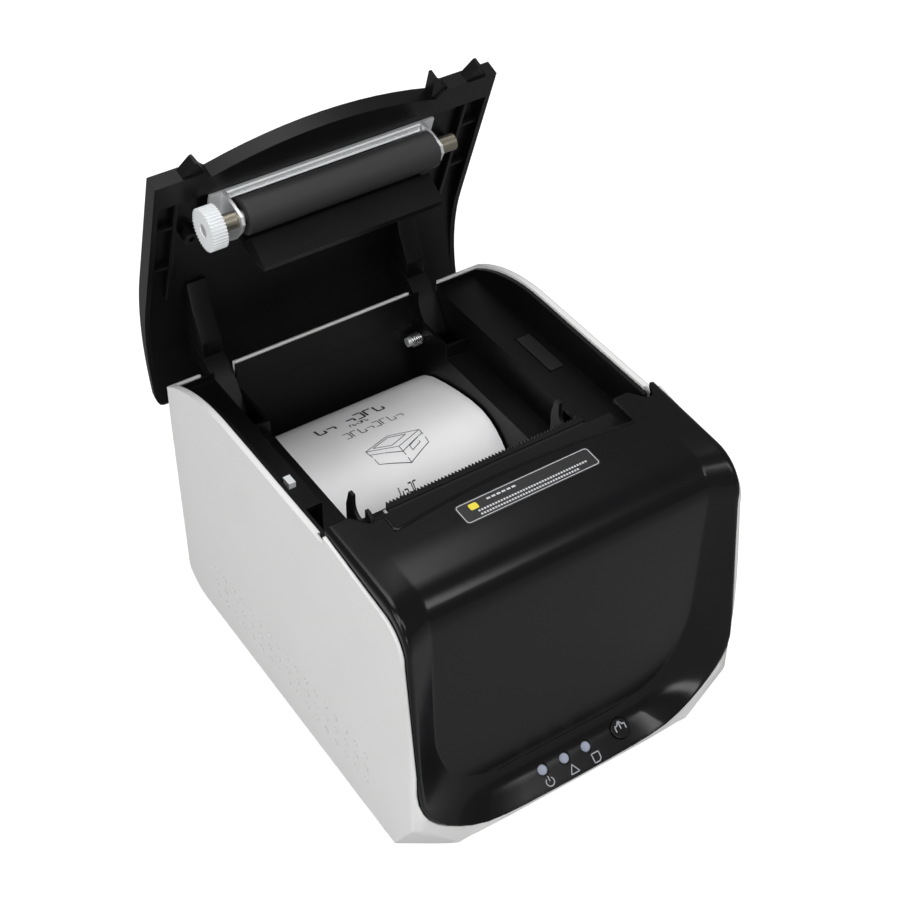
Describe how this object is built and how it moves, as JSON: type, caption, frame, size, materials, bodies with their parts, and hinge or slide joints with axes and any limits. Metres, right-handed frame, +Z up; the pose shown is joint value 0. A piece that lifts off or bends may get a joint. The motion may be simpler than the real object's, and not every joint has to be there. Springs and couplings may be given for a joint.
{
  "type": "receipt printer",
  "caption": "Desktop thermal receipt printer with a hinged lid, platen, cutter, paper bucket and roll, feed button and rear sockets.",
  "frame": {"origin": "on the underside of the base plate, on the centre line between the side panels, 89.2 mm behind the chin", "axes": "+X to the right as the user faces the front, -Y out of the front, +Z up"},
  "size_m": [0.144, 0.1981, 0.2129],
  "materials": {
    "white_casing": "fine satin texture",
    "black_matte": "fine matte texture",
    "black_cover": "semi-gloss",
    "black_label": "smooth satin",
    "rubber_feet": "matte",
    "platen_rubber": "ground smooth",
    "dark_steel": "blackened",
    "plated_steel": "zinc plated",
    "blade_steel": "ground bright",
    "spring_wire": "drawn wire",
    "cast_alloy": "cast",
    "head_ceramic": "glazed ceramic",
    "white_nylon": "moulded",
    "sintered_bronze": "sintered",
    "pinion_brass": "machined",
    "circuit_board": "solder mask",
    "chip_black": "moulded",
    "led_lens": "frosted lens",
    "thermal_paper": "smooth coated paper",
    "cardboard": "wound card"
  },
  "bodies": {
    "base": {"outer_casing": "white_casing", "base_plate": "black_matte", "rubber_feet": "rubber_feet", "base_screws": "dark_steel", "connector_panel": "black_matte", "front_cover": "black_cover", "info_plate": "black_label", "light_pipes": "led_lens", "button_board": "circuit_board", "inner_frame": "black_matte", "shelf_insert": "black_label", "head_chassis": "dark_steel", "exit_band": "black_matte", "tear_bar": "dark_steel", "print_head": "head_ceramic", "head_sink": "cast_alloy", "head_springs": "spring_wire", "cutter_guides": "black_matte", "cutter_motor": "dark_steel", "feed_motor": "dark_steel", "main_board": "circuit_board", "board_parts": "chip_black", "power_socket": "chip_black", "usb_socket": "plated_steel", "network_socket": "plated_steel", "drawer_socket": "chip_black", "rocker_housing": "chip_black", "buzzer": "chip_black", "paper_sensor": "chip_black", "hinge_pins": "plated_steel", "lid_spring": "spring_wire", "chassis_screws": "dark_steel", "paper_web": "thermal_paper"},
    "lid": {"lid_shell": "black_matte", "hinge_arms": "black_matte", "platen_bracket": "plated_steel", "fixed_blade": "blade_steel", "paper_guide": "black_matte", "platen_bearings": "sintered_bronze", "bracket_screws": "plated_steel"},
    "platen": {"platen_shaft": "plated_steel", "platen_roller": "platen_rubber", "platen_gear": "white_nylon"},
    "roll": {"paper_roll": "thermal_paper", "paper_core": "cardboard"},
    "feed_key": {"feed_button": "black_cover"},
    "rocker": {"power_rocker": "chip_black"},
    "lid_lever": {"lid_switch": "white_nylon"},
    "cutter": {"moving_blade": "blade_steel"},
    "cutter_drive": {"cutter_gear": "white_nylon"},
    "idler": {"idler_gear": "white_nylon"},
    "pinion": {"motor_pinion": "pinion_brass"}
  },
  "joints": [
    {"name": "lid_hinge", "type": "hinge", "parent": "base", "child": "lid", "pos_m": [-0.002, 0.0817, 0.086], "axis": [1, 0, 0], "range_deg": [0, 70.7]},
    {"name": "platen_spin", "type": "hinge", "parent": "lid", "child": "platen", "pos_m": [-0.002, 0.07211, 0.18298], "axis": [1, 0, 0], "continuous": true},
    {"name": "roll_spin", "type": "hinge", "parent": "base", "child": "roll", "pos_m": [-0.002, 0.0436, 0.0458], "axis": [1, 0, 0], "continuous": true},
    {"name": "feed_key_press", "type": "slide", "parent": "base", "child": "feed_key", "axis": [0, 0.5736, -0.8192], "range_m": [0, 0.0008], "stiffness_N_per_m": 600, "springref_m": -0.0005},
    {"name": "rocker_swing", "type": "hinge", "parent": "base", "child": "rocker", "pos_m": [0.061, 0.0895, 0.022], "axis": [1, 0, 0], "range_deg": [-14, 0]},
    {"name": "lid_lever_press", "type": "slide", "parent": "base", "child": "lid_lever", "axis": [0, 0, -1], "range_m": [0, 0.0015], "stiffness_N_per_m": 300, "springref_m": -0.0005},
    {"name": "cutter_turn", "type": "hinge", "parent": "base", "child": "cutter_drive", "pos_m": [-0.028, -0.049, 0.1072], "axis": [-1, 0, 0], "range_deg": [0, 77]},
    {"name": "cutter_stroke", "type": "slide", "parent": "base", "child": "cutter", "axis": [0, 1, 0], "range_m": [0, 0.0094]},
    {"name": "idler_spin", "type": "hinge", "parent": "base", "child": "idler", "pos_m": [-0.0545, -0.024, 0.0901], "axis": [1, 0, 0], "continuous": true},
    {"name": "pinion_spin", "type": "hinge", "parent": "base", "child": "pinion", "pos_m": [-0.0545, -0.03301, 0.07674], "axis": [1, 0, 0], "continuous": true}
  ],
  "couplings": [
    {"joint": "cutter_turn", "follows": "cutter_stroke", "rad_per_m": 142.86},
    {"joint": "pinion_spin", "follows": "idler_spin", "ratio": -4.3333}
  ]
}
